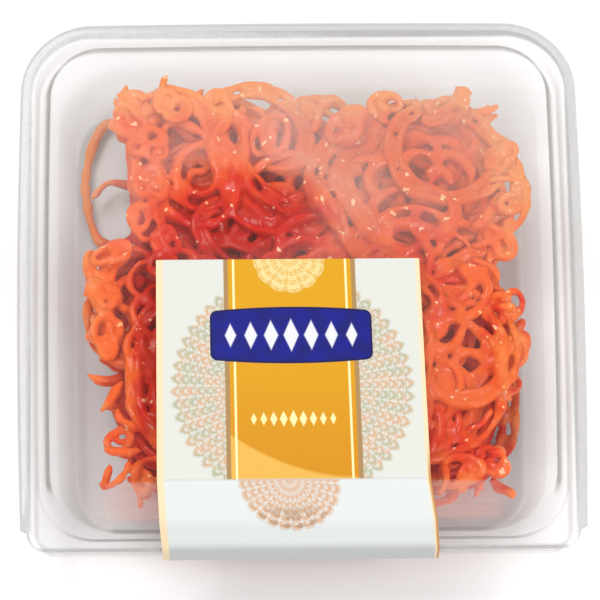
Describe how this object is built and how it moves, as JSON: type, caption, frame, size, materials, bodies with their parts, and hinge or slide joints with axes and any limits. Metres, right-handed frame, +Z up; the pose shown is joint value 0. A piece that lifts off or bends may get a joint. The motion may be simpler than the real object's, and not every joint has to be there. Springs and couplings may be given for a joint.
{
  "type": "clear box of jalebi",
  "caption": "Shut square clear plastic tub with a domed lid and a folded paper label, filled with a tangled heap of syrupy orange jalebi swirls.",
  "frame": {"origin": "centre of the tub's flat floor, on its underside", "axes": "+Z up out of the lid, -Y towards the front where the label folds down, +X to the right seen from the front"},
  "size_m": [0.1666, 0.1648, 0.0382],
  "materials": {
    "clear_tub": "clear thermoformed sheet",
    "clear_lid": "clear thermoformed sheet",
    "label_paper": "satin printed paper",
    "syruped_jalebi": "fried batter glazed with sugar syrup"
  },
  "bodies": {
    "root": {"tub": "clear_tub", "lid": "clear_lid", "label": "label_paper", "jalebi_bed": "syruped_jalebi", "jalebi_1": "syruped_jalebi", "jalebi_2": "syruped_jalebi", "jalebi_3": "syruped_jalebi", "jalebi_4": "syruped_jalebi", "jalebi_5": "syruped_jalebi", "jalebi_6": "syruped_jalebi", "jalebi_7": "syruped_jalebi", "jalebi_8": "syruped_jalebi", "jalebi_9": "syruped_jalebi", "jalebi_10": "syruped_jalebi", "jalebi_11": "syruped_jalebi", "jalebi_12": "syruped_jalebi"}
  },
  "joints": []
}
